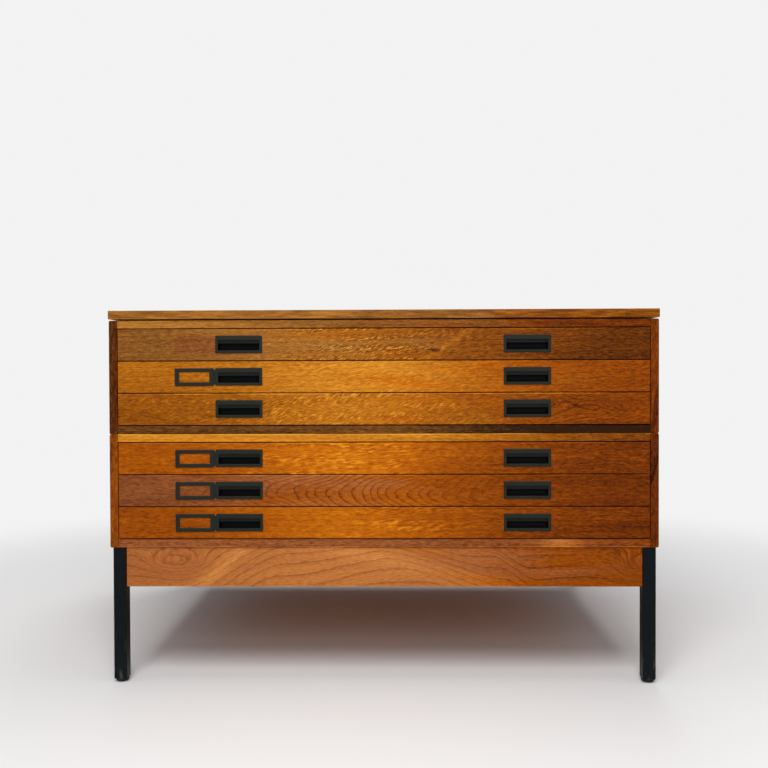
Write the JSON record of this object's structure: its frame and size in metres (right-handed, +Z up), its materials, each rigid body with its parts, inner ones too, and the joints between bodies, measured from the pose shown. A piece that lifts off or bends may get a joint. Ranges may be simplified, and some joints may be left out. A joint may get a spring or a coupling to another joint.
{
  "type": "plan chest",
  "caption": "Floor-standing plan chest: wide shallow sliding drawers with recessed pulls and label frames, in stacked wooden units under a raised top, on a stand with square steel legs.",
  "frame": {"origin": "on the floor, under the middle of the chest's bounding box", "axes": "+X to the right along the drawer fronts, +Y from the front to the back, +Z up; the drawers open towards -Y"},
  "size_m": [1.1, 0.83, 0.7498],
  "materials": {
    "case_veneer": "red-brown teak-like veneer on board, satin lacquer",
    "front_veneer": "orange-brown teak-like veneer, satin lacquer",
    "drawer_wood": "pale hardwood, thin clear lacquer",
    "plywood": "pale plywood, thin clear lacquer",
    "hardwood": "planed hardwood, waxed",
    "black_plastic": "matt black with a green-grey cast",
    "black_steel": "satin black paint",
    "zinc_screws": "zinc plated"
  },
  "bodies": {
    "case": {"top_board": "case_veneer", "top_spacers": "hardwood", "upper_left_side": "case_veneer", "upper_right_side": "case_veneer", "upper_top_board": "case_veneer", "upper_base_board": "case_veneer", "upper_back_panel": "plywood", "upper_runners": "hardwood", "lower_left_side": "case_veneer", "lower_right_side": "case_veneer", "lower_top_board": "case_veneer", "lower_base_board": "case_veneer", "lower_back_panel": "plywood", "lower_runners": "hardwood", "locating_pegs": "hardwood", "drawer_stops": "hardwood", "front_apron": "case_veneer", "rear_apron": "case_veneer", "left_apron": "case_veneer", "right_apron": "case_veneer", "front_left_leg": "black_steel", "front_right_leg": "black_steel", "rear_left_leg": "black_steel", "rear_right_leg": "black_steel", "feet": "black_plastic", "stand_screws": "zinc_screws"},
    "drawer_1": {"drawer_1_front": "front_veneer", "drawer_1_sides": "drawer_wood", "drawer_1_back": "drawer_wood", "drawer_1_bottom": "plywood", "drawer_1_pulls": "black_plastic"},
    "drawer_2": {"drawer_2_front": "front_veneer", "drawer_2_sides": "drawer_wood", "drawer_2_back": "drawer_wood", "drawer_2_bottom": "plywood", "drawer_2_pulls": "black_plastic", "drawer_2_label_frame": "black_plastic"},
    "drawer_3": {"drawer_3_front": "front_veneer", "drawer_3_sides": "drawer_wood", "drawer_3_back": "drawer_wood", "drawer_3_bottom": "plywood", "drawer_3_pulls": "black_plastic"},
    "drawer_4": {"drawer_4_front": "front_veneer", "drawer_4_sides": "drawer_wood", "drawer_4_back": "drawer_wood", "drawer_4_bottom": "plywood", "drawer_4_pulls": "black_plastic", "drawer_4_label_frame": "black_plastic"},
    "drawer_5": {"drawer_5_front": "front_veneer", "drawer_5_sides": "drawer_wood", "drawer_5_back": "drawer_wood", "drawer_5_bottom": "plywood", "drawer_5_pulls": "black_plastic", "drawer_5_label_frame": "black_plastic"},
    "drawer_6": {"drawer_6_front": "front_veneer", "drawer_6_sides": "drawer_wood", "drawer_6_back": "drawer_wood", "drawer_6_bottom": "plywood", "drawer_6_pulls": "black_plastic", "drawer_6_label_frame": "black_plastic"}
  },
  "joints": [
    {"name": "drawer_1_slide", "type": "slide", "parent": "case", "child": "drawer_1", "axis": [0, -1, 0], "range_m": [0, 0.52]},
    {"name": "drawer_2_slide", "type": "slide", "parent": "case", "child": "drawer_2", "axis": [0, -1, 0], "range_m": [0, 0.52]},
    {"name": "drawer_3_slide", "type": "slide", "parent": "case", "child": "drawer_3", "axis": [0, -1, 0], "range_m": [0, 0.52]},
    {"name": "drawer_4_slide", "type": "slide", "parent": "case", "child": "drawer_4", "axis": [0, -1, 0], "range_m": [0, 0.52]},
    {"name": "drawer_5_slide", "type": "slide", "parent": "case", "child": "drawer_5", "axis": [0, -1, 0], "range_m": [0, 0.52]},
    {"name": "drawer_6_slide", "type": "slide", "parent": "case", "child": "drawer_6", "axis": [0, -1, 0], "range_m": [0, 0.52]}
  ]
}
